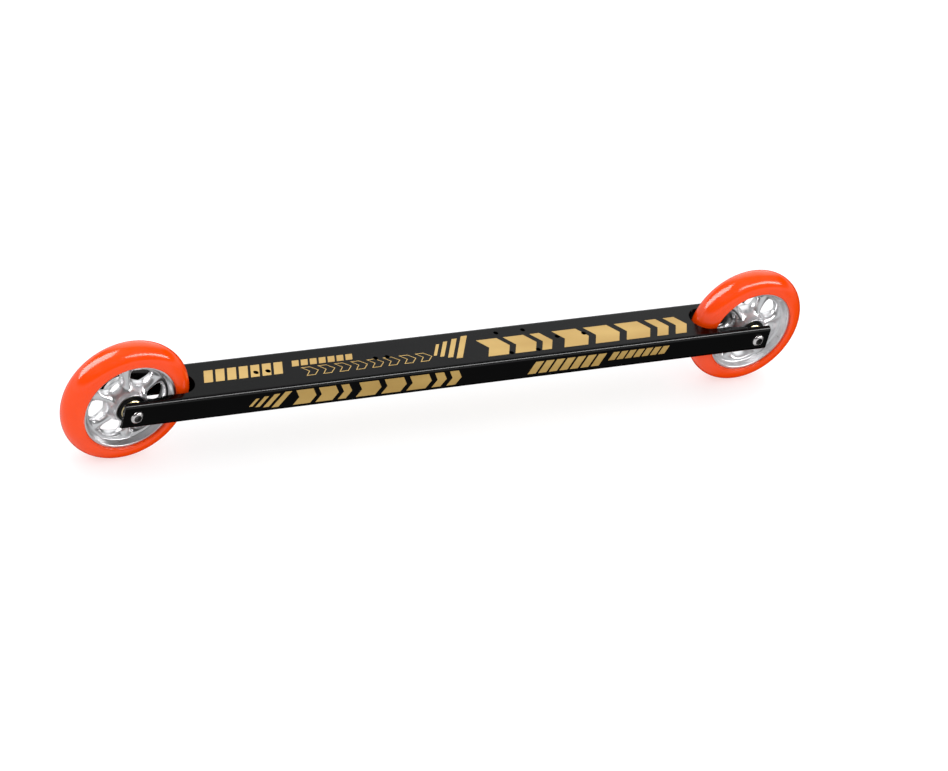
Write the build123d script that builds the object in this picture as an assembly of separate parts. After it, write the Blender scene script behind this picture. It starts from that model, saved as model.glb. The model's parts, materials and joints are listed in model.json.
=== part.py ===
from build123d import *
from math import sqrt
import os

# A two-wheeled skating roller ski: one hollow beam, forked at both ends round a
# 100 mm wheel.  Millimetres; +X forward, +Y to the skier's left, +Z up.
# Origin: on the ground, midway between the two wheels, on the centre plane.

os.makedirs("parts", exist_ok=True)

# ---------------------------------------------------------------- driving dimensions
WHEELBASE = 544.0
WHEEL_D = 100.0
TYRE_WIDTH = 24.0

BEAM_WIDTH = 43.5
BEAM_HEIGHT = 21.0
BEAM_CORNER_R = 3.0
SIDE_WALL = 3.0
TOP_WALL = 2.0
BEAM_INNER_R = 1.0
ARM_OVERHANG = 10.25      # beam end beyond each axle
SLOT_WIDTH = 28.0         # wheel slot through the top and bottom walls
SLOT_APEX = 53.5          # axle to the slot's rounded inner end
SLOT_FLARE = (26.0, 2.0)  # inboard of the axle, where the slot starts and stops widening
SLOT_END_WIDTH = 36.0     # from there to the fork's tip, so that only the arm's wall is left
END_CHAMFER = 0.4

BINDING_HOLE_R = 2.0
TOE_ROW_Y = 13.0          # paired toe holes, each side of the centre line
TOE_ROW_X = (46.3, 70.3)
TOE_CENTRE_X = (94.4, 118.6)
HEEL_CENTRE_X = (-167.0, -157.0, -66.0, -56.0)

BEARING_BORE_R = 4.0      # 608 size: 8 x 22 x 7
BEARING_OUTER_R = 11.0
BEARING_WIDTH = 7.0
BALL_COUNT = 7
BALL_R = 1.984
BALL_PITCH_R = 7.5
RACE_CLEARANCE = 0.06
INNER_SHOULDER_R = 6.05
OUTER_SHOULDER_R = 8.95
SEAL_SEAT_R = 9.6
SEAL_THICKNESS = 0.6
SEAL_RECESS = 0.3
CAGE_R = (6.75, 8.25)
CAGE_HALF_WIDTH = 2.35
FIT_CLEARANCE = 0.02      # radial, wherever one round piece slides over another

CENTRE_SPACER_LENGTH = 10.0
CENTRE_SPACER_R = 6.0

HUB_BORE_SHOULDER_R = 9.3
HUB_BOSS_R = 12.4
HUB_BOSS_PROUD = 0.2      # boss end beyond the bearing face
HUB_RIM_R = 36.2          # where the tyre is bonded
HUB_RIM_HALF_WIDTH = 10.0
HUB_LIP = 1.2
HUB_ANCHOR_R = 38.2       # centre rib that locks the tyre
HUB_ANCHOR_HALF_WIDTH = 3.0
HUB_BAND_R = 31.2         # smooth inner band, outside the windows
SPOKE_COUNT = 6
WINDOW_PITCH_R = 23.0
WINDOW_WIDTH = 13.2       # along the radius, on the wheel's centre plane
WINDOW_HALF_ARC = 4.3     # degrees its end circles stand each side of the window's middle
WINDOW_DRAFT = 14.0       # degrees the walls open outwards
REAR_HUB_ANGLE = 11.0     # where the first window stands at rest, up from +X
FRONT_HUB_ANGLE = 41.0

AXLE_THREAD_R = 3.0       # M6 screws in a hollow 8 mm axle
SCREW_LENGTH = 14.0
SCREW_HEAD_R = 5.0
SCREW_HEAD_HEIGHT = 2.4
SCREW_FLAT_R = 3.2        # flat top inside the dome
HEX_SOCKET = 5.0
HEX_DEPTH = 1.8
SCREW_HOLE_R = 3.2

SPACER_FLANGE_R = 8.4
SPACER_FLANGE = (0.7, 2.0)   # from the bearing face outwards
SPACER_FOOT_R = 5.7
SPACER_NECK_R = 6.3

# ---------------------------------------------------------------- derived dimensions
AXLE_Z = WHEEL_D / 2
INNER_HALF_GAP = BEAM_WIDTH / 2 - SIDE_WALL
BEAM_LENGTH = WHEELBASE + 2 * ARM_OVERHANG
BEAM_TOP = AXLE_Z + BEAM_HEIGHT / 2
BEARING_INNER_FACE = CENTRE_SPACER_LENGTH / 2
BEARING_OUTER_FACE = BEARING_INNER_FACE + BEARING_WIDTH
BEARING_MID = BEARING_INNER_FACE + BEARING_WIDTH / 2
BOSS_FACE = BEARING_OUTER_FACE + HUB_BOSS_PROUD
TYRE_R = TYRE_WIDTH / 2                  # round section
TYRE_CENTRE_R = WHEEL_D / 2 - TYRE_R
RACE_R = BALL_R + RACE_CLEARANCE


# ---------------------------------------------------------------- helpers
def turned(*points):
    """Solid of revolution about Y from straight (radius, y) points."""
    return revolve(make_face(Polyline(*points, close=True)), Axis.Y)


def tube(inner_r, outer_r, low, high):
    return turned((inner_r, low), (outer_r, low), (outer_r, high), (inner_r, high))


def turned_mirrored(*edges):
    """Solid of revolution about Y from edges for y >= 0, mirrored to y <= 0."""
    half = list(edges)
    other = [mirror(edge, Plane.XZ) for edge in half]
    return revolve(make_face(Curve() + half + other), Axis.Y)


# ---------------------------------------------------------------- frame beam
def wheel_slot(end):
    """Plan of the slot through the top and bottom walls: round inner end, flared round the hub."""
    round_x = WHEELBASE / 2 - (SLOT_APEX - SLOT_WIDTH / 2)
    flare_start, flare_stop = (WHEELBASE / 2 - inboard for inboard in SLOT_FLARE)
    tip = BEAM_LENGTH / 2 + 1
    half, end_half = SLOT_WIDTH / 2, SLOT_END_WIDTH / 2
    edge = [(round_x, half), (flare_start, half), (flare_stop, end_half), (tip, end_half)]
    outline = [(end * x, y) for x, y in edge] + [(end * x, -y) for x, y in reversed(edge)]
    return make_face(Polyline(*outline, close=True)) + Pos(end * round_x, 0) * Circle(half)


def frame_beam():
    section = RectangleRounded(BEAM_WIDTH, BEAM_HEIGHT, BEAM_CORNER_R)
    section -= RectangleRounded(BEAM_WIDTH - 2 * SIDE_WALL, BEAM_HEIGHT - 2 * TOP_WALL, BEAM_INNER_R)
    beam = Pos(0, 0, AXLE_Z) * extrude(Plane.YZ * section, BEAM_LENGTH / 2, both=True)
    for end in (-1, 1):
        beam = chamfer(beam.edges().filter_by_position(Axis.X, *sorted((end * BEAM_LENGTH / 2 - 0.01,
                       end * BEAM_LENGTH / 2 + 0.01))), END_CHAMFER)
        beam -= Pos(0, 0, AXLE_Z) * extrude(wheel_slot(end), BEAM_HEIGHT / 2 + 1, both=True)
        beam -= Pos(end * WHEELBASE / 2, 0, AXLE_Z) * Rot(90, 0, 0) * Cylinder(SCREW_HOLE_R, BEAM_WIDTH + 2)
    holes = [(x, side * TOE_ROW_Y) for x in TOE_ROW_X for side in (-1, 1)]
    holes += [(x, 0) for x in TOE_CENTRE_X + HEEL_CENTRE_X]
    for x, y in holes:
        beam -= Pos(x, y, BEAM_TOP - TOP_WALL / 2) * Cylinder(BINDING_HOLE_R, TOP_WALL + 1)
    return beam


# ---------------------------------------------------------------- wheel: tyre and hub
def tyre():
    """Round-section tyre, bonded round the hub's rim and its centre rib."""
    shoulder_r = TYRE_CENTRE_R - 0.2
    shoulder = (shoulder_r, sqrt(TYRE_R**2 - (TYRE_CENTRE_R - shoulder_r) ** 2))
    edge = (HUB_RIM_R, HUB_RIM_HALF_WIDTH)
    return turned_mirrored(
        Line((HUB_ANCHOR_R, 0), (HUB_ANCHOR_R, HUB_ANCHOR_HALF_WIDTH)),
        Line((HUB_ANCHOR_R, HUB_ANCHOR_HALF_WIDTH), (HUB_RIM_R, HUB_ANCHOR_HALF_WIDTH)),
        Line((HUB_RIM_R, HUB_ANCHOR_HALF_WIDTH), edge),
        ThreePointArc(edge, (HUB_RIM_R + 0.6, HUB_RIM_HALF_WIDTH + 1.25), shoulder),
        ThreePointArc(shoulder, (TYRE_CENTRE_R + TYRE_R / sqrt(2), TYRE_R / sqrt(2)), (WHEEL_D / 2, 0)),
    )


def window_cutter():
    """Oval window about the +X direction, opening outwards from the wheel's centre plane."""
    middle_line = CenterArc((0, 0), WINDOW_PITCH_R, -WINDOW_HALF_ARC, 2 * WINDOW_HALF_ARC)
    outline = Plane(origin=(0, 0, 0), x_dir=(1, 0, 0), z_dir=(0, 1, 0)) * SlotArc(middle_line, WINDOW_WIDTH)
    half = extrude(outline, BOSS_FACE + 1, taper=-WINDOW_DRAFT)
    return half + mirror(half, Plane.XZ)


def hub(first_angle):
    """Cast hub: bearing boss, thick web with oval windows that flare outwards, dished rim."""
    lip_r = HUB_RIM_R - HUB_LIP
    body = turned_mirrored(
        Line((HUB_BORE_SHOULDER_R, 0), (HUB_BORE_SHOULDER_R, BEARING_INNER_FACE)),
        Line((HUB_BORE_SHOULDER_R, BEARING_INNER_FACE), (BEARING_OUTER_R, BEARING_INNER_FACE)),
        Line((BEARING_OUTER_R, BEARING_INNER_FACE), (BEARING_OUTER_R, BOSS_FACE)),
        Line((BEARING_OUTER_R, BOSS_FACE), (HUB_BOSS_R, BOSS_FACE)),
        Spline((HUB_BOSS_R, BOSS_FACE), (14.6, 7.9), (20.5, 5.6), (HUB_BAND_R, 4.4),
               tangents=((0.25, -1), (1, 0))),
        ThreePointArc((HUB_BAND_R, 4.4), (HUB_BAND_R + 1.1, 7.5), (lip_r, HUB_RIM_HALF_WIDTH)),
        Line((lip_r, HUB_RIM_HALF_WIDTH), (HUB_RIM_R, HUB_RIM_HALF_WIDTH)),
        Line((HUB_RIM_R, HUB_RIM_HALF_WIDTH), (HUB_RIM_R, HUB_ANCHOR_HALF_WIDTH)),
        Line((HUB_RIM_R, HUB_ANCHOR_HALF_WIDTH), (HUB_ANCHOR_R, HUB_ANCHOR_HALF_WIDTH)),
        Line((HUB_ANCHOR_R, HUB_ANCHOR_HALF_WIDTH), (HUB_ANCHOR_R, 0)),
    )
    window = window_cutter()
    for step in range(SPOKE_COUNT):
        body -= Rot(0, -(first_angle + step * 360 / SPOKE_COUNT), 0) * window
    return body


# ---------------------------------------------------------------- 608 bearing, centred on its own middle
def ball_places():
    return [Rot(0, step * 360 / BALL_COUNT, 0) * Pos(BALL_PITCH_R, 0, 0) for step in range(BALL_COUNT)]


def race_groove():
    return Rot(90, 0, 0) * Torus(BALL_PITCH_R, RACE_R)


def inner_ring():
    return tube(BEARING_BORE_R, INNER_SHOULDER_R, -BEARING_WIDTH / 2, BEARING_WIDTH / 2) - race_groove()


def outer_ring():
    half = BEARING_WIDTH / 2
    seat = half - SEAL_RECESS - SEAL_THICKNESS
    ring = tube(OUTER_SHOULDER_R, BEARING_OUTER_R - FIT_CLEARANCE, -half, half) - race_groove()
    for side in (-1, 1):
        ring -= tube(OUTER_SHOULDER_R - 1, SEAL_SEAT_R, *sorted((side * seat, side * (half + 1))))
    return ring


def seal(side):
    low = BEARING_WIDTH / 2 - SEAL_RECESS - SEAL_THICKNESS
    lip_r = INNER_SHOULDER_R + 0.25
    return tube(lip_r, SEAL_SEAT_R - FIT_CLEARANCE, *sorted((side * low, side * (low + SEAL_THICKNESS))))


def balls():
    return Compound(children=[place * Sphere(BALL_R) for place in ball_places()])


def cage():
    ring = tube(*CAGE_R, -CAGE_HALF_WIDTH, CAGE_HALF_WIDTH)
    for place in ball_places():
        ring -= place * Sphere(RACE_R)
    return ring


# ---------------------------------------------------------------- axle parts
def axle():
    """Hollow 8 mm shaft that just fills the gap between the fork arms."""
    depth = SCREW_LENGTH - SIDE_WALL + 1
    shaft = tube(0, BEARING_BORE_R - FIT_CLEARANCE, -INNER_HALF_GAP, INNER_HALF_GAP)
    for side in (-1, 1):
        ends = sorted((side * (INNER_HALF_GAP - depth), side * (INNER_HALF_GAP + 1)))
        shaft -= tube(0, AXLE_THREAD_R + FIT_CLEARANCE, *ends)
    return chamfer(shaft.edges().filter_by(GeomType.CIRCLE).filter_by_position(
        Axis.Y, INNER_HALF_GAP - 0.01, INNER_HALF_GAP + 0.01).sort_by(SortBy.RADIUS)[-1:], 0.3)


def centre_spacer():
    half = CENTRE_SPACER_LENGTH / 2
    return tube(BEARING_BORE_R + FIT_CLEARANCE, CENTRE_SPACER_R, -half, half)


def outer_spacer():
    """Dished dust washer and spacer from the bearing's inner ring to the +Y arm."""
    near, far = BEARING_OUTER_FACE, INNER_HALF_GAP
    low, high = (near + offset for offset in SPACER_FLANGE)
    bore = BEARING_BORE_R + FIT_CLEARANCE
    return turned((bore, near), (SPACER_FOOT_R, near), (SPACER_FOOT_R, low), (SPACER_FLANGE_R - 0.4, low),
                  (SPACER_FLANGE_R, low + 0.4), (SPACER_FLANGE_R, high - 0.5), (SPACER_FLANGE_R - 0.5, high),
                  (SPACER_NECK_R + 0.6, high + 0.2), (SPACER_NECK_R, high + 1.0), (SPACER_NECK_R, far),
                  (bore, far))


def screw():
    """Low dome-head hex socket screw through the +Y arm into the axle."""
    seat = BEAM_WIDTH / 2
    top = seat + SCREW_HEAD_HEIGHT
    outline = Curve() + [
        Line((0, seat), (SCREW_HEAD_R, seat)),
        Line((SCREW_HEAD_R, seat), (SCREW_HEAD_R, seat + 0.5)),
        ThreePointArc((SCREW_HEAD_R, seat + 0.5), (4.4, seat + 1.75), (SCREW_FLAT_R, top)),
        Line((SCREW_FLAT_R, top), (0, top)),
        Line((0, top), (0, seat)),
    ]
    body = revolve(make_face(outline), Axis.Y)
    body += tube(0, AXLE_THREAD_R, seat - SCREW_LENGTH, seat)
    socket_plane = Plane(origin=(0, top - HEX_DEPTH, 0), x_dir=(1, 0, 0), z_dir=(0, 1, 0))
    body -= extrude(socket_plane * RegularPolygon(HEX_SOCKET / sqrt(3), 6), HEX_DEPTH + 1)
    return body


# ---------------------------------------------------------------- assembly
def place(shape, x, y=0.0, side=1):
    """Put a piece made for the +Y side at an axle; side -1 turns it to face -Y."""
    facing = Rot(0, 0, 0) if side > 0 else Rot(0, 0, 180)
    return Pos(x, 0, AXLE_Z) * facing * Pos(0, y, 0) * shape


def wheel_nodes(name, x, hub_angle):
    nodes = {
        f"{name}_tyre": place(tyre(), x),
        f"{name}_hub": place(hub(hub_angle), x),
        f"{name}_axle": place(axle(), x),
        f"{name}_centre_spacer": place(centre_spacer(), x),
    }
    for side_name, side in (("left", 1), ("right", -1)):
        key = f"{name}_{side_name}"
        bearing_parts = {
            "inner_ring": inner_ring(), "outer_ring": outer_ring(), "outer_seal": seal(1),
            "inner_seal": seal(-1), "balls": balls(), "cage": cage(),
        }
        for part_name, shape in bearing_parts.items():
            nodes[f"{key}_{part_name}"] = place(shape, x, BEARING_MID, side)
        nodes[f"{key}_dust_spacer"] = place(outer_spacer(), x, 0, side)
        nodes[f"{key}_axle_screw"] = place(screw(), x, 0, side)
    return nodes


nodes = {"frame_beam": frame_beam()}
nodes |= wheel_nodes("rear", -WHEELBASE / 2, REAR_HUB_ANGLE)
nodes |= wheel_nodes("front", WHEELBASE / 2, FRONT_HUB_ANGLE)
for node_name, shape in nodes.items():
    export_step(shape, f"parts/{node_name}.step")
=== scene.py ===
import json
from math import cos, pi, radians, sin

import bmesh
import bpy
from mathutils import Matrix, Vector


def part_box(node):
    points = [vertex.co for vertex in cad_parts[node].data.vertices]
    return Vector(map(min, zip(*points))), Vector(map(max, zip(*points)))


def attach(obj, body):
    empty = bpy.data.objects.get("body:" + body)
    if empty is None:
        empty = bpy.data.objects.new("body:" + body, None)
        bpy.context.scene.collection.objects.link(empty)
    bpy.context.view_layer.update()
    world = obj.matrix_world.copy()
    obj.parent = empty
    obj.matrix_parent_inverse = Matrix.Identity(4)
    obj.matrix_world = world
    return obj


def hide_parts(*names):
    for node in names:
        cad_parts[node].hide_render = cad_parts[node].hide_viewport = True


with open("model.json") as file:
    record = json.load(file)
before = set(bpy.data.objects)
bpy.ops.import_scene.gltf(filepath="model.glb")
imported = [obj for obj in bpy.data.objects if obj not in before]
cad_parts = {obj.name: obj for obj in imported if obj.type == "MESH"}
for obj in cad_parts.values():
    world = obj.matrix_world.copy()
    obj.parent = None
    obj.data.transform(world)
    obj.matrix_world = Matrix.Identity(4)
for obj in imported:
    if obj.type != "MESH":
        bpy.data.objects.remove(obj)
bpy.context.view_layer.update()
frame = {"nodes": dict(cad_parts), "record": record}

# One skating roller ski: black beam, orange tyres on polished hubs, gold graphics.
# Shape values are millimetres, in the frame's axes: +X forward, +Y left, +Z up.

MM = 0.001
scene = bpy.context.scene
scene.view_settings.view_transform = "Standard"


def mm_box(node):
    low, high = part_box(node)
    return Vector(low) / MM, Vector(high) / MM


def centre_of(node):
    low, high = mm_box(node)
    return (low + high) / 2


BEAM_LOW, BEAM_HIGH = mm_box("frame_beam")
WHEELS = {"rear": centre_of("rear_tyre"), "front": centre_of("front_tyre")}
AXLE_X = WHEELS["front"].x    # the rear axle is as far behind the origin
AXLE_Z = WHEELS["rear"].z

# ---------------------------------------------------------------- camera
CAMERA_TARGET = Vector((12.8, -22.6, 40.75))
CAMERA_DISTANCE = 2950.0
CAMERA_AZIMUTH = 36.70        # turned from +Y towards +X
CAMERA_ELEVATION = 33.52      # looking down
CAMERA_ROLL = 15.2
CAMERA_LENS = 147.5
CAMERA_CLIP = (0.01, 50.0)    # metres


def add_camera():
    azimuth, elevation = radians(CAMERA_AZIMUTH), radians(CAMERA_ELEVATION)
    forward = Vector((sin(azimuth) * cos(elevation), cos(azimuth) * cos(elevation), -sin(elevation)))
    data = bpy.data.cameras.new("camera")
    data.lens = CAMERA_LENS
    data.clip_start, data.clip_end = CAMERA_CLIP
    camera = bpy.data.objects.new("camera", data)
    scene.collection.objects.link(camera)
    turn = forward.to_track_quat("-Z", "Y").to_matrix() @ Matrix.Rotation(radians(CAMERA_ROLL), 3, "Z")
    camera.matrix_world = Matrix.Translation((CAMERA_TARGET - forward * CAMERA_DISTANCE) * MM) @ turn.to_4x4()
    scene.camera = camera


# ---------------------------------------------------------------- node helpers
class NodeTree:
    """The node tree of a material or a world, with short calls that add nodes to it."""

    def __init__(self, owner):
        owner.use_nodes = True
        self.nodes, self.links = owner.node_tree.nodes, owner.node_tree.links

    def put(self, socket, value):
        """Link an input socket to an output, or give it a constant."""
        if isinstance(value, bpy.types.NodeSocket):
            self.links.new(value, socket)
        else:
            socket.default_value = value

    def node(self, kind, settings=None, **inputs):
        made = self.nodes.new("ShaderNode" + kind)
        for key, value in (settings or {}).items():
            setattr(made, key, value)
        for key, value in inputs.items():
            self.put(made.inputs[key.replace("_", " ")], value)
        return made

    def math(self, operation, a, b=0.0):
        made = self.node("Math", {"operation": operation})
        self.put(made.inputs[0], a)
        self.put(made.inputs[1], b)
        return made.outputs[0]


class Shader(NodeTree):
    """A material with one Principled BSDF, and short calls for the textures that feed it."""

    NOISE_ROUGHNESS = 0.55

    def __init__(self, name, **constants):
        self.material = bpy.data.materials.new(name)
        super().__init__(self.material)
        self.position = self.node("TexCoord").outputs["Object"]
        self.feed(**constants)

    def feed(self, **inputs):
        """Set or link the BSDF's inputs."""
        for key, value in inputs.items():
            self.put(self.nodes["Principled BSDF"].inputs[key.replace("_", " ")], value)
        return self

    def stretched(self, x, y, z):
        return self.node("Mapping", Vector=self.position, Scale=(x, y, z)).outputs["Vector"]

    def noise(self, scale, vector=None, detail=3.0):
        return self.node("TexNoise", Vector=vector or self.position, Scale=scale, Detail=detail,
                         Roughness=self.NOISE_ROUGHNESS).outputs["Fac"]

    def ramp(self, value, low, high, start=0.0, end=1.0):
        """Map value from start..end to low..high, numbers or colours."""
        if isinstance(low, tuple):
            mix = self.node("Mix", {"data_type": "RGBA"})
            share = self.ramp(value, 0.0, 1.0, start, end)
            for index, source in ((0, share), (6, low), (7, high)):    # factor, colour A, colour B
                self.put(mix.inputs[index], source)
            return mix.outputs[2]
        return self.node("MapRange", Value=value, From_Min=start, From_Max=end, To_Min=low,
                         To_Max=high).outputs["Result"]

    def weighted_sum(self, *terms):
        """Add up the products of (value, weight) pairs."""
        total = 0.0
        for value, weight in terms:
            total = self.math("ADD", total, self.math("MULTIPLY", value, weight))
        return total

    def bump(self, height, distance):
        return self.node("Bump", Height=height, Distance=distance).outputs["Normal"]


# ---------------------------------------------------------------- light and floor
FILL_STRENGTH = 3.7           # watts per square metre, from straight above
FILL_SPREAD = 120.0           # degrees across
SOFTBOX_DISTANCE = 2.4        # metres from the origin
# strip boxes: (name, direction, direction of the long side, (short, long) side in metres, watts)
SOFTBOXES = (
    ("strip_rear_left", (-0.62, 0.40, 0.67), (0, 0, 1), (1.3, 2.6), 110),
    ("strip_front_right", (0.52, -0.53, 0.67), (1, 0, 0), (0.45, 3.0), 46),
)
# The room's brightness is a sum of bands: (direction, cosine to it where the band starts and ends,
# brightness added before its start and after its end).
WORLD_BANDS = (
    ((0, 0, 1), -0.06, -0.01, 0.72, 1.0),             # ground, up to a brighter horizon
    ((0, 0, 1), 0.10, 0.22, 0.0, -0.87),              # dark overhead
    ((0.45, 0.72, 0.50), 0.80, 0.97, 0.0, 1.25),      # pale patch high at the back
    ((0.60, 0.10, -0.80), 0.66, 0.85, 0.0, -0.35),    # darker ground below the front end,
    ((0.90, 0.10, -0.42), 0.55, 0.80, 0.0, -0.50),    # ahead of it
    ((0.50, 0.67, -0.55), 0.76, 0.94, 0.0, -0.45),    # and behind the ski
)
WORLD_COLOR = (0.98, 0.99, 1.0, 1)
FLOOR_REACH = 25.0            # metres each way from the origin
FLOOR_SQUARES = 8


def add_softbox(name, direction, long_side, size, power):
    """Area light that faces the model and lights only its reflections."""
    data = bpy.data.lights.new(name, "AREA")
    data.shape = "RECTANGLE"
    data.size, data.size_y = size
    data.energy = power
    light = bpy.data.objects.new(name, data)
    scene.collection.objects.link(light)
    back = Vector(direction).normalized()
    side = Vector(long_side).cross(back).normalized()
    turn = Matrix((side, back.cross(side), back)).transposed()
    light.matrix_world = Matrix.Translation(back * SOFTBOX_DISTANCE) @ turn.to_4x4()
    light.visible_diffuse = False


def add_fill():
    """Wide soft light from above, left out of reflections."""
    data = bpy.data.lights.new("fill", "SUN")
    data.energy, data.angle = FILL_STRENGTH, radians(FILL_SPREAD)
    fill = bpy.data.objects.new("fill", data)
    scene.collection.objects.link(fill)
    fill.visible_glossy = False


def add_world():
    """A pale room, dark overhead, whose brightness is the sum of WORLD_BANDS and never below zero."""
    world = bpy.data.worlds.new("studio")
    tree = NodeTree(world)
    direction = tree.node("TexCoord").outputs["Generated"]
    total = 0.0
    for towards, start, end, low, high in WORLD_BANDS:
        facing = tree.node("VectorMath", {"operation": "DOT_PRODUCT"})
        tree.put(facing.inputs[0], direction)
        tree.put(facing.inputs[1], Vector(towards).normalized())
        band = tree.node("MapRange", {"interpolation_type": "SMOOTHSTEP"}, Value=facing.outputs["Value"],
                         From_Min=start, From_Max=end, To_Min=low, To_Max=high)
        total = tree.math("ADD", total, band.outputs["Result"])
    background = tree.nodes["Background"].inputs
    tree.put(background["Strength"], tree.math("MAXIMUM", total, 0.0))
    tree.put(background["Color"], WORLD_COLOR)
    scene.world = world


def floor_material():
    """Matt white ground, lit a little from beneath so that shadows stay pale."""
    shader = Shader("floor", Roughness=0.8, Emission_Color=(1, 1, 1, 1), Emission_Strength=0.62,
                    Specular_IOR_Level=0.1)
    tone = shader.ramp(shader.noise(1.3), (0.39, 0.39, 0.4, 1), (0.41, 0.41, 0.41, 1))
    return shader.feed(Base_Color=tone).material


def add_floor():
    """Ground plane. Reflections leave it out and take the room's ground tone instead."""
    bm = bmesh.new()
    bmesh.ops.create_grid(bm, x_segments=FLOOR_SQUARES, y_segments=FLOOR_SQUARES, size=FLOOR_REACH)
    mesh = bpy.data.meshes.new("floor")
    bm.to_mesh(mesh)
    bm.free()
    mesh.materials.append(floor_material())
    floor = bpy.data.objects.new("floor", mesh)
    scene.collection.objects.link(floor)
    floor.visible_glossy = False


# ---------------------------------------------------------------- materials
# where the painted highlight on the beam's rounded edges fades in, in mm: from the centre plane, and above or
# below the axles
EDGE_HIGHLIGHT_BESIDE = (18.9, 19.8)
EDGE_HIGHLIGHT_ABOVE = (7.7, 8.9)
EDGE_HIGHLIGHT_TONE = 0.038
RING_CELLS = 9000.0           # noise cells per metre across a lathe's turning marks
PAINTED_SHADE_FADE = 0.2               # mm over which the painted shade at a turned part's core fades out


def black_anodised():
    """Satin black anodising over an extrusion: draw lines along X, faint grain, and rounded edges painted
    paler as a highlight.
    """
    shader = Shader("black_anodised", Metallic=1.0)
    lines = shader.noise(1.0, shader.stretched(6, 2600, 2600), detail=2)
    grain = shader.noise(5200)
    cloud = shader.noise(28)
    place = shader.node("SeparateXYZ", Vector=shader.position).outputs
    beside = shader.math("ABSOLUTE", place["Y"])
    above = shader.math("ABSOLUTE", shader.math("SUBTRACT", place["Z"], AXLE_Z * MM))
    near_side = shader.ramp(beside, 0.0, 1.0, EDGE_HIGHLIGHT_BESIDE[0] * MM, EDGE_HIGHLIGHT_BESIDE[1] * MM)
    near_face = shader.ramp(above, 0.0, 1.0, EDGE_HIGHLIGHT_ABOVE[0] * MM, EDGE_HIGHLIGHT_ABOVE[1] * MM)
    # painted highlight: the base tone is raised along the rounded edges, where the strip light's highlight
    # line falls
    painted_edge_highlight = shader.math("MULTIPLY", near_side, near_face)
    tone = shader.weighted_sum((shader.ramp(cloud, 0.0030, 0.0041, 0.3, 0.7), 1.0), (painted_edge_highlight, EDGE_HIGHLIGHT_TONE))
    grey = shader.node("CombineColor", Red=tone, Green=tone, Blue=tone)
    return shader.feed(Base_Color=grey.outputs["Color"],
                       Roughness=shader.ramp(shader.math("ADD", cloud, lines), 0.15, 0.21, 0.7, 1.3),
                       Normal=shader.bump(shader.weighted_sum((lines, 0.6), (grain, 0.4)), 0.000004)).material


def orange_urethane():
    """Glossy cast urethane with faint cloudiness and slight unevenness."""
    shader = Shader("orange_urethane", Specular_IOR_Level=0.46)
    cloud = shader.noise(45, detail=4)
    fine = shader.noise(2400)
    color = shader.ramp(cloud, (0.92, 0.058, 0.0002, 1), (0.96, 0.067, 0.0006, 1), 0.3, 0.7)
    return shader.feed(Base_Color=color, Roughness=shader.ramp(shader.noise(160), 0.12, 0.18, 0.35, 0.65),
                       Normal=shader.bump(shader.weighted_sum((fine, 0.1), (cloud, 1.0)), 0.00003)).material


def polished_alloy():
    """Cast aluminium polished by hand: soft waviness, fine wiping marks, a little haze."""
    shader = Shader("polished_alloy", Metallic=1.0)
    wave = shader.noise(150, detail=2)
    wipe = shader.noise(1.0, shader.stretched(900, 5000, 900), detail=3)
    haze = shader.noise(320, detail=5)
    color = shader.ramp(haze, (0.72, 0.72, 0.73, 1), (0.80, 0.80, 0.81, 1), 0.3, 0.7)
    return shader.feed(Base_Color=color,
                       Roughness=shader.ramp(shader.math("ADD", haze, wipe), 0.27, 0.34, 0.7, 1.3),
                       Normal=shader.bump(shader.weighted_sum((wipe, 0.05), (wave, 1.0)), 0.000006)).material


def turned_metal(name, bright, dark, roughness, metallic=1.0, painted_shade_core=(0.0, 1.0)):
    """Lathe-turned metal: fine rings about the nearer axle. Its core, a (radius in mm, shade) pair, darkens
    the colour inside that radius as painted shade.
    """
    shader = Shader(name, Metallic=metallic)
    place = shader.node("SeparateXYZ", Vector=shader.position).outputs
    x = shader.math("SUBTRACT", shader.math("ABSOLUTE", place["X"]), AXLE_X * MM)
    z = shader.math("SUBTRACT", place["Z"], AXLE_Z * MM)
    radius = shader.math("SQRT", shader.weighted_sum((x, x), (z, z)))
    rings = shader.node("CombineXYZ", X=shader.math("MULTIPLY", radius, RING_CELLS),
                        Y=shader.math("MULTIPLY", place["Y"], RING_CELLS))
    line = shader.noise(1.0, rings.outputs["Vector"], detail=2)
    color = shader.ramp(shader.noise(400), dark, bright, 0.25, 0.65)
    # painted shade: inside the core's radius the colour is scaled down by its shade factor
    shade = shader.ramp(radius, painted_shade_core[1], 1.0, painted_shade_core[0] * MM, (painted_shade_core[0] + PAINTED_SHADE_FADE) * MM)
    shaded = shader.node("VectorMath", {"operation": "SCALE"}, Vector=color, Scale=shade)
    return shader.feed(Base_Color=shaded.outputs["Vector"],
                       Roughness=shader.ramp(line, roughness * 0.8, roughness * 1.4, 0.3, 0.7),
                       Normal=shader.bump(line, 0.000008)).material


def black_seal():
    """Moulded black rubber with a fine grain."""
    shader = Shader("black_seal", Base_Color=(0.014, 0.014, 0.015, 1))
    grain = shader.noise(2600, detail=4)
    return shader.feed(Roughness=shader.ramp(grain, 0.42, 0.6, 0.3, 0.7),
                       Normal=shader.bump(grain, 0.00002)).material


def cage_polymer():
    """Moulded brown polymer with a slight mottle."""
    shader = Shader("cage_polymer", Roughness=0.45)
    grain = shader.noise(1500, detail=4)
    color = shader.ramp(grain, (0.42, 0.09, 0.02, 1), (0.56, 0.13, 0.04, 1), 0.3, 0.7)
    return shader.feed(Base_Color=color, Normal=shader.bump(grain, 0.00002)).material


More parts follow.
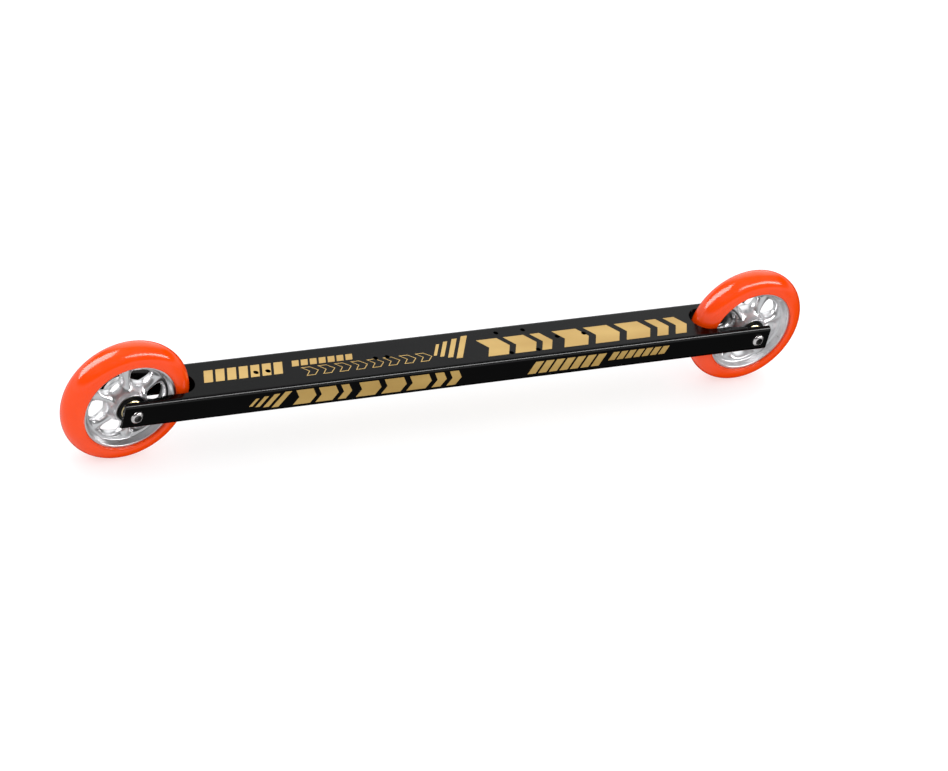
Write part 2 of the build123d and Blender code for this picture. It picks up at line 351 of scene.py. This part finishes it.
def gold_print():
    """Satin gold print of slightly varying tone, with a fine metallic fleck."""
    shader = Shader("gold_print", Metallic=0.2)
    fleck = shader.noise(3800, detail=3)
    tone = shader.noise(1.0, shader.stretched(9, 45, 60), detail=1)
    color = shader.ramp(tone, (0.42, 0.255, 0.058, 1), (0.52, 0.34, 0.096, 1), 0.35, 0.65)
    return shader.feed(Base_Color=color, Roughness=shader.ramp(fleck, 0.38, 0.52, 0.3, 0.7),
                       Normal=shader.bump(fleck, 0.000006)).material


MATERIALS = {
    "black_anodised": black_anodised(),
    "orange_urethane": orange_urethane(),
    "polished_alloy": polished_alloy(),
    "plain_alloy": turned_metal("plain_alloy", (0.66, 0.67, 0.69, 1), (0.5, 0.5, 0.52, 1), 0.3),
    # painted shade: the spacer's face inside 7.8 mm is darkened to a quarter, standing in for the dark
    # reflection of the arm above it
    "gold_anodised": turned_metal("gold_anodised", (0.74, 0.63, 0.38, 1), (0.58, 0.47, 0.24, 1), 0.24,
                                  painted_shade_core=(7.8, 0.25)),
    "bearing_steel": turned_metal("bearing_steel", (0.62, 0.63, 0.65, 1), (0.5, 0.5, 0.52, 1), 0.2),
    "black_steel": turned_metal("black_steel", (0.03, 0.03, 0.032, 1), (0.02, 0.02, 0.021, 1), 0.3,
                                metallic=0.6),
    "ball_steel": turned_metal("ball_steel", (0.8, 0.81, 0.83, 1), (0.72, 0.73, 0.75, 1), 0.08),
    # painted shade: the hex socket inside 2.9 mm is darkened to about a sixth, where the recess lies in shade
    "screw_steel": turned_metal("screw_steel", (0.80, 0.77, 0.77, 1), (0.6, 0.57, 0.56, 1), 0.2,
                                painted_shade_core=(2.9, 0.16)),
    "black_seal": black_seal(),
    "cage_polymer": cage_polymer(),
}
GOLD_PRINT = gold_print()

# ---------------------------------------------------------------- mesh helpers
MERGE_DISTANCE = 0.0005


def mesh_piece(name, bm, material, body, sharp_angle=35):
    """Turn a bmesh in millimetres into a smooth shaded piece that rides on a body."""
    bmesh.ops.remove_doubles(bm, verts=bm.verts, dist=MERGE_DISTANCE)
    bmesh.ops.recalc_face_normals(bm, faces=bm.faces)
    bmesh.ops.scale(bm, vec=(MM, MM, MM), verts=bm.verts)
    mesh = bpy.data.meshes.new(name)
    bm.to_mesh(mesh)
    bm.free()
    mesh.shade_smooth()
    mesh.set_sharp_from_angle(angle=radians(sharp_angle))
    mesh.materials.append(material)
    piece = bpy.data.objects.new(name, mesh)
    scene.collection.objects.link(piece)
    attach(piece, body)
    return piece


def join_rows(bm, first, second):
    """Quads between two closed rows of vertices of the same length."""
    count = len(first)
    for i in range(count):
        j = (i + 1) % count
        bm.faces.new([first[i], first[j], second[j], second[i]])


def wheel_vertex(bm, centre, radius, y, angle):
    return bm.verts.new((centre.x + radius * cos(angle), y, centre.z + radius * sin(angle)))


def revolve_about_axle(bm, centre, profile, angles, closed=True):
    """Surface of revolution about the axle from (radius, y) points."""
    rings = [[wheel_vertex(bm, centre, radius, y, angle) for angle in angles] for radius, y in profile]
    following = rings[1:] + rings[:1] if closed else rings[1:]
    for ring, after in zip(rings, following):
        join_rows(bm, ring, after)


def arc_points(centre, radius, start, end, count):
    """Points on an arc in the (radius, y) plane, degrees from the outward radius."""
    steps = (radians(start + (end - start) * i / (count - 1)) for i in range(count))
    return [(centre[0] + radius * cos(a), centre[1] + radius * sin(a)) for a in steps]


# ---------------------------------------------------------------- tyres
TYRE_R = 12.0                 # round section
TYRE_CENTRE_R = 38.0
TYRE_ARC_END = 92             # degrees round the section to where the bead begins
TYRE_BEAD_R = 0.9             # rolled edge beside the lip
TYRE_BEAD_DEPTH = 0.5         # reach of the bead inwards of the rim's edge
TYRE_GAP = 0.05               # between the tyre and the rim
TYRE_SEGMENTS = 240
RIM_R = 36.2                  # where the tyre meets the hub's lip
RIM_HALF_WIDTH = 10.0


def add_tyre(name, centre):
    seat_r = RIM_R + TYRE_GAP
    half = arc_points((TYRE_CENTRE_R, 0), TYRE_R, 0, TYRE_ARC_END, 40)
    half += arc_points((seat_r + TYRE_BEAD_R, RIM_HALF_WIDTH + TYRE_BEAD_R), TYRE_BEAD_R, 80, 180, 6)
    half += [(seat_r, RIM_HALF_WIDTH - TYRE_BEAD_DEPTH), (seat_r, 0.0)]
    profile = half + [(radius, -y) for radius, y in reversed(half[1:-1])]
    bm = bmesh.new()
    revolve_about_axle(bm, centre, profile, [2 * pi * i / TYRE_SEGMENTS for i in range(TYRE_SEGMENTS)])
    piece = mesh_piece(f"{name}_tyre_cast", bm, MATERIALS["orange_urethane"], f"{name}_wheel")
    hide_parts(f"{name}_tyre")


# ---------------------------------------------------------------- hubs
SPOKE_COUNT = 6
SECTOR = 360 / SPOKE_COUNT    # degrees: a window and half a spoke on each side of it
HUB_TURN = {"rear": 11.0, "front": 41.0}    # direction of one window, up from +X
WINDOW_R = (16.2, 29.6)       # inner and outer reach of a window
WINDOW_HALF_ANGLE = 21.0
WINDOW_SQUARENESS = 2.5       # superellipse exponent of its outline
WINDOW_STEPS = 72             # a multiple of 8, so that rays meet the sector corners
WALL_STEPS = 14
WEB_R = (12.6, 31.2)          # from the boss to the dished rim
# (radius, height) of the hub's face over the spokes, boss to dished rim
FACE_LINE = [(12.6, 11.2), (12.9, 9.8), (13.6, 8.3), (15.0, 7.2), (17.5, 6.4), (21.0, 5.8), (26.0, 5.2),
             (31.2, 4.6)]
BOSS_FACE = 12.2
BOSS_EDGE_R = 0.45            # rounding of the boss's outer edge
BOSS_DRAFT = 0.1              # outward lean of the boss's side
BEARING_R = 11.0
BEARING_DEPTH = 5.0           # the bearing's inner face
BEARING_MOUTH_R = 0.35        # rounding where the bearing goes in
SHOULDER_R = 9.3
DISH_STEP = 0.5               # flat between the web and the dish's fillet
DISH_FILLET_R = 1.2
DISH_FILLET_END = -25         # degrees: direction from the fillet's centre to where the wall starts
LIP_CENTRE = (35.05, 9.2)     # of the rounding on the lip's inner edge
LIP_R = 0.75
LIP_EDGE_R = 0.3              # rounding of the lip's outer edge
HUB_SHARP_ANGLE = 50
SAME_RADIUS = 1e-6            # radii this close are one circle


def face_height(radius):
    """Smooth curve through FACE_LINE, by Catmull-Rom interpolation."""
    line = FACE_LINE
    i = sum(1 for r, _ in line[1:-1] if r <= radius)
    before, start = line[max(i - 1, 0)], line[i]
    end, after = line[i + 1], line[min(i + 2, len(line) - 1)]
    span = end[0] - start[0]
    t = (radius - start[0]) / span
    slope_start = (end[1] - before[1]) / (end[0] - before[0])
    slope_end = (after[1] - start[1]) / (after[0] - start[0])
    return ((2 * t**3 - 3 * t**2 + 1) * start[1] + (t**3 - 2 * t**2 + t) * span * slope_start
            + (-2 * t**3 + 3 * t**2) * end[1] + (t**3 - t**2) * span * slope_end)


def signed_power(value, power):
    return (1 if value >= 0 else -1) * abs(value) ** power


def window_rays():
    """Pairs of (radius, degrees) points: on a window's outline, and outwards on the edge of its sector."""
    middle = sum(WINDOW_R) / 2
    half_r = (WINDOW_R[1] - WINDOW_R[0]) / 2
    rays = []
    for i in range(WINDOW_STEPS):
        turn = 2 * pi * i / WINDOW_STEPS
        out = signed_power(cos(turn), 2 / WINDOW_SQUARENESS)
        across = signed_power(sin(turn), 2 / WINDOW_SQUARENESS)
        reach = (WEB_R[1] - middle) if out > 0 else (middle - WEB_R[0])
        grow = 1 / max(abs(cos(turn)), abs(sin(turn)))    # from a circle out to a square
        rays.append(((middle + half_r * out, WINDOW_HALF_ANGLE * across),
                     (middle + reach * cos(turn) * grow, SECTOR / 2 * sin(turn) * grow)))
    return rays


RAYS = window_rays()


def sector_turns(name):
    return [HUB_TURN[name] + sector * SECTOR for sector in range(SPOKE_COUNT)]


def add_web_sector(bm, centre, turn, side):
    """Rounded surface on one side, from a window's outline at mid width to its sector's edge on the face."""
    rows = []
    for step in range(WALL_STEPS + 1):
        rise = sin(pi / 2 * step / WALL_STEPS)
        share = 1 - cos(pi / 2 * step / WALL_STEPS)
        row = []
        for (radius_in, angle_in), (radius_out, angle_out) in RAYS:
            radius = radius_in + (radius_out - radius_in) * share
            angle = turn + (angle_in + (angle_out - angle_in) * share)
            row.append(wheel_vertex(bm, centre, radius, side * rise * face_height(radius), radians(angle)))
        rows.append(row)
    for row, after in zip(rows, rows[1:]):
        join_rows(bm, row, after)


def web_edge_angles(name, edge_r):
    """Directions of the web's vertices on its inner or outer circle."""
    angles = {round((turn + angle) % 360, 5)
              for turn in sector_turns(name) for _, (radius, angle) in RAYS
              if abs(radius - edge_r) < SAME_RADIUS}
    return [radians(angle) for angle in sorted(angles)]


def boss_profile():
    """(radius, y) from the middle plane, round the bearing's seat, over the boss and down to the web."""
    mouth = BOSS_FACE - BEARING_MOUTH_R
    edge = (WEB_R[0] - BOSS_DRAFT - BOSS_EDGE_R, BOSS_FACE - BOSS_EDGE_R)
    return ([(SHOULDER_R, 0), (SHOULDER_R, BEARING_DEPTH), (BEARING_R, BEARING_DEPTH)]
            + arc_points((BEARING_R + BEARING_MOUTH_R, mouth), BEARING_MOUTH_R, 180, 90, 5)
            + arc_points(edge, BOSS_EDGE_R, 90, 0, 6)
            + [(WEB_R[0], face_height(WEB_R[0]))])


def dish_profile():
    """(radius, y) from the web, up the dished rim's wall, over its lip and down to the middle plane."""
    web_height = face_height(WEB_R[1])
    fillet = (WEB_R[1] + DISH_STEP, web_height + DISH_FILLET_R)
    lip_edge = (RIM_R - LIP_EDGE_R, RIM_HALF_WIDTH - LIP_EDGE_R)
    return ([(WEB_R[1], web_height)] + arc_points(fillet, DISH_FILLET_R, -90, DISH_FILLET_END, 7)
            + arc_points(LIP_CENTRE, LIP_R, 175, 60, 9)
            + arc_points(lip_edge, LIP_EDGE_R, 90, 0, 5)
            + [(RIM_R, 0)])


def add_hub(name, centre):
    bm = bmesh.new()
    for side in (1, -1):
        for turn in sector_turns(name):
            add_web_sector(bm, centre, turn, side)
        for profile, edge_r in ((boss_profile(), WEB_R[0]), (dish_profile(), WEB_R[1])):
            outline = [(radius, side * y) for radius, y in profile]
            revolve_about_axle(bm, centre, outline, web_edge_angles(name, edge_r), closed=False)
    piece = mesh_piece(f"{name}_hub_polished", bm, MATERIALS["polished_alloy"], f"{name}_wheel",
                       HUB_SHARP_ANGLE)
    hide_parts(f"{name}_hub")


# ---------------------------------------------------------------- printed graphics
PRINT_RISE = 0.05             # above the anodised face
PRINT_SINK = 0.02             # base of the print, inside the face
PRINT_SHARP_ANGLE = 30
BAR_SLANT = 0.42              # lean of a slanted bar, along for each mm across
ARROW_TIP = 0.3               # reach of an arrow bar's point, as a share of its height
BAR_GAP = 0.24                # gap between bars, as a share of a wide bar's pitch
CHEVRON = ((0.0, 5.2), (7.6, 5.2), (12.8, 0.0), (7.6, -5.2), (0.0, -5.2), (4.6, 0.0))
CHEVRON_LINE = 0.6
CHEVRON_PITCH = 13.9
CHEVRON_COUNT = 8
CHEVRON_START = (-130, -5.8)  # on the top face, along and across
STRIPE_CROWDING = 1.15        # above 1, the first stripes stand closer together
STRIPE_WIDTH = (0.25, 0.75)   # share of the pitch, rising between these limits
STRIPE_HEIGHT = (0.35, 1.0)   # share of the full height, likewise
STRIPE_SLANT = 0.672          # lean for each mm of half height
DRILL_CLEARANCE = 0.1
DRILL_DEPTH = 2
DRILL_SEGMENTS = 32

# each face: (origin, along, across) with the print read along then across
PRINT_FACES = {
    "top": (Vector((0, 0, BEAM_HIGH.z)), Vector((1, 0, 0)), Vector((0, 1, 0))),
    "bottom": (Vector((0, 0, BEAM_LOW.z)), Vector((1, 0, 0)), Vector((0, -1, 0))),
    "right": (Vector((0, BEAM_LOW.y, AXLE_Z)), Vector((1, 0, 0)), Vector((0, 0, 1))),
    "left": (Vector((0, BEAM_HIGH.y, AXLE_Z)), Vector((-1, 0, 0)), Vector((0, 0, 1))),
}
# rows of bars on each face: (start, end, low, high, relative pitch of each bar, whether they are arrows)
WIDE, NARROW = 1.0, 0.6
PRINT_BARS = {
    "top": ((-212, -141, -5, 9, (WIDE,) * 7, False), (-136, -82, 1.8, 8.6, (WIDE,) * 7, False),
            (25, 88, -14.4, 6.7, (WIDE, WIDE, NARROW), True),
            (93, 212, -14.4, 6.7, (WIDE, WIDE, WIDE, NARROW, NARROW), True)),
    "right": ((-143, -94.6, -6.6, 6.6, (WIDE, WIDE, NARROW), True),
              (-90, 0, -6.6, 6.6, (WIDE, WIDE, WIDE, NARROW, NARROW), True),
              (60, 129, -5.6, 5.6, (WIDE,) * 7, False), (132, 187, -1.8, 5.6, (WIDE,) * 7, False)),
    "bottom": ((-107, 0, -13, 15.3, (WIDE, WIDE, NARROW), True),
               (8, 210, -13, 15.3, (WIDE, WIDE, WIDE, NARROW, NARROW), True)),
}
PRINT_BARS["left"] = PRINT_BARS["right"]
# rising stripes on each face: (start, end, low, high, count)
PRINT_STRIPES = {
    "top": (-14, 15, -12, 14, 4),
    "right": (-178, -148, -6.6, 6.6, 4),
    "bottom": (-206, -117, -16, 16, 5),
}
PRINT_STRIPES["left"] = PRINT_STRIPES["right"]


def bar_outlines(start, end, low, high, pitches, arrows):
    """A row of bars from start to end, each an arrow shape or a slanted bar."""
    height = high - low
    lean = height * (ARROW_TIP if arrows else BAR_SLANT)
    pitch = (end - start - lean) / (sum(pitches) - BAR_GAP)
    outlines = []
    for i, share in enumerate(pitches):
        left = start + sum(pitches[:i]) * pitch
        right = left + (share - BAR_GAP) * pitch
        if arrows:
            middle = (low + high) / 2
            outlines.append([(left, low), (right, low), (right + lean, middle), (right, high), (left, high),
                             (left + lean, middle)])
        else:
            outlines.append([(left, low), (right, low), (right + lean, high), (left + lean, high)])
    return outlines


def between(limits, share):
    return limits[0] + (limits[1] - limits[0]) * share


def stripe_outlines(start, end, low, high, count):
    """Slanted stripes that grow wider and taller along the face."""
    reach = end - start
    middle = (low + high) / 2
    outlines = []
    for i in range(count):
        share = (i + 1) / count
        left = start + reach * (i / count) ** STRIPE_CROWDING
        right = left + reach / count * between(STRIPE_WIDTH, share)
        half = (high - low) / 2 * between(STRIPE_HEIGHT, share)
        lean = STRIPE_SLANT * half
        outlines.append([(left - lean, middle - half), (right - lean, middle - half),
                         (right + lean, middle + half), (left + lean, middle + half)])
    return outlines


def inset(outline, distance):
    """The same outline moved inwards by a distance; its corners run clockwise."""
    moved = []
    for i, corner in enumerate(outline):
        following = outline[(i + 1) % len(outline)]
        before, here, after = Vector(outline[i - 1]), Vector(corner), Vector(following)
        first, second = (here - before).normalized(), (after - here).normalized()
        first_normal, second_normal = Vector((first.y, -first.x)), Vector((second.y, -second.x))
        mitre = (first_normal + second_normal).normalized()
        moved.append(tuple(here + mitre * distance / mitre.dot(first_normal)))
    return moved


def raised_shape(bm, to_space, outline, hole=None):
    """A thin closed solid over an outline, or over the band between an outline and its hole."""
    levels = (-PRINT_SINK, PRINT_RISE)
    outer = [[bm.verts.new(to_space(u, v, h)) for u, v in outline] for h in levels]
    join_rows(bm, *outer)
    if hole:
        inner = [[bm.verts.new(to_space(u, v, h)) for u, v in hole] for h in levels]
        join_rows(bm, *inner)
        for edge_row, hole_row in zip(outer, inner):
            join_rows(bm, edge_row, hole_row)
    else:
        for row in outer:
            bm.faces.new(row)


def binding_holes():
    """Centre (x, y) and radius of each drilled hole, from the record's bolt patterns."""
    holes = []
    for mount in frame["record"]["mounts"]:
        if mount["kind"] != "bolt_pattern":
            continue
        x, y = mount["pos_m"][0] / MM, mount["pos_m"][1] / MM
        along = mount["dims"]["spacing_x_mm"] / 2
        across = mount["dims"].get("spacing_y_mm", 0.0) / 2
        for step in (-1, 1):
            for side in ((-1, 1) if across else (0,)):
                holes.append((x + step * along, y + side * across, mount["dims"]["hole_r_mm"]))
    return holes


def drill(piece):
    """Cut the binding holes out of a piece on the beam's top."""
    bm = bmesh.new()
    for x, y, radius in binding_holes():
        place = Matrix.Translation(Vector((x, y, BEAM_HIGH.z)) * MM)
        cut_radius = (radius + DRILL_CLEARANCE) * MM
        bmesh.ops.create_cone(bm, cap_ends=True, segments=DRILL_SEGMENTS, radius1=cut_radius,
                              radius2=cut_radius, depth=DRILL_DEPTH * MM, matrix=place)
    mesh = bpy.data.meshes.new("drills")
    bm.to_mesh(mesh)
    bm.free()
    drills = bpy.data.objects.new("drills", mesh)
    scene.collection.objects.link(drills)
    cut = piece.modifiers.new("drill", "BOOLEAN")
    cut.operation, cut.solver, cut.object = "DIFFERENCE", "EXACT", drills
    bpy.context.view_layer.update()
    evaluated = piece.evaluated_get(bpy.context.evaluated_depsgraph_get())
    drilled = bpy.data.meshes.new_from_object(evaluated)
    piece.modifiers.clear()
    piece.data = drilled
    bpy.data.objects.remove(drills)


def add_print(face):
    origin, along, across = PRINT_FACES[face]
    outwards = along.cross(across)

    def to_space(u, v, height):
        return origin + along * u + across * v + outwards * height

    bm = bmesh.new()
    for bars in PRINT_BARS[face]:
        for outline in bar_outlines(*bars):
            raised_shape(bm, to_space, outline)
    for outline in stripe_outlines(*PRINT_STRIPES[face]):
        raised_shape(bm, to_space, outline)
    if face == "top":
        for i in range(CHEVRON_COUNT):
            outline = [(u + CHEVRON_START[0] + i * CHEVRON_PITCH, v + CHEVRON_START[1]) for u, v in CHEVRON]
            raised_shape(bm, to_space, outline, inset(outline, CHEVRON_LINE))
    piece = mesh_piece(f"beam_print_{face}", bm, GOLD_PRINT, "frame", PRINT_SHARP_ANGLE)
    if face == "top":
        drill(piece)


# ---------------------------------------------------------------- scene
add_camera()
for softbox in SOFTBOXES:
    add_softbox(*softbox)
add_fill()
add_world()
add_floor()

# every carried-over CAD node takes the material of its slot in the record
for part in frame["record"]["subparts"]:
    node = frame["nodes"][part["node"]]
    node.data.materials.clear()
    node.data.materials.append(MATERIALS[part["material_slot"]])

for wheel_name, wheel_centre in WHEELS.items():
    add_tyre(wheel_name, wheel_centre)
    add_hub(wheel_name, wheel_centre)
for print_face in PRINT_FACES:
    add_print(print_face)
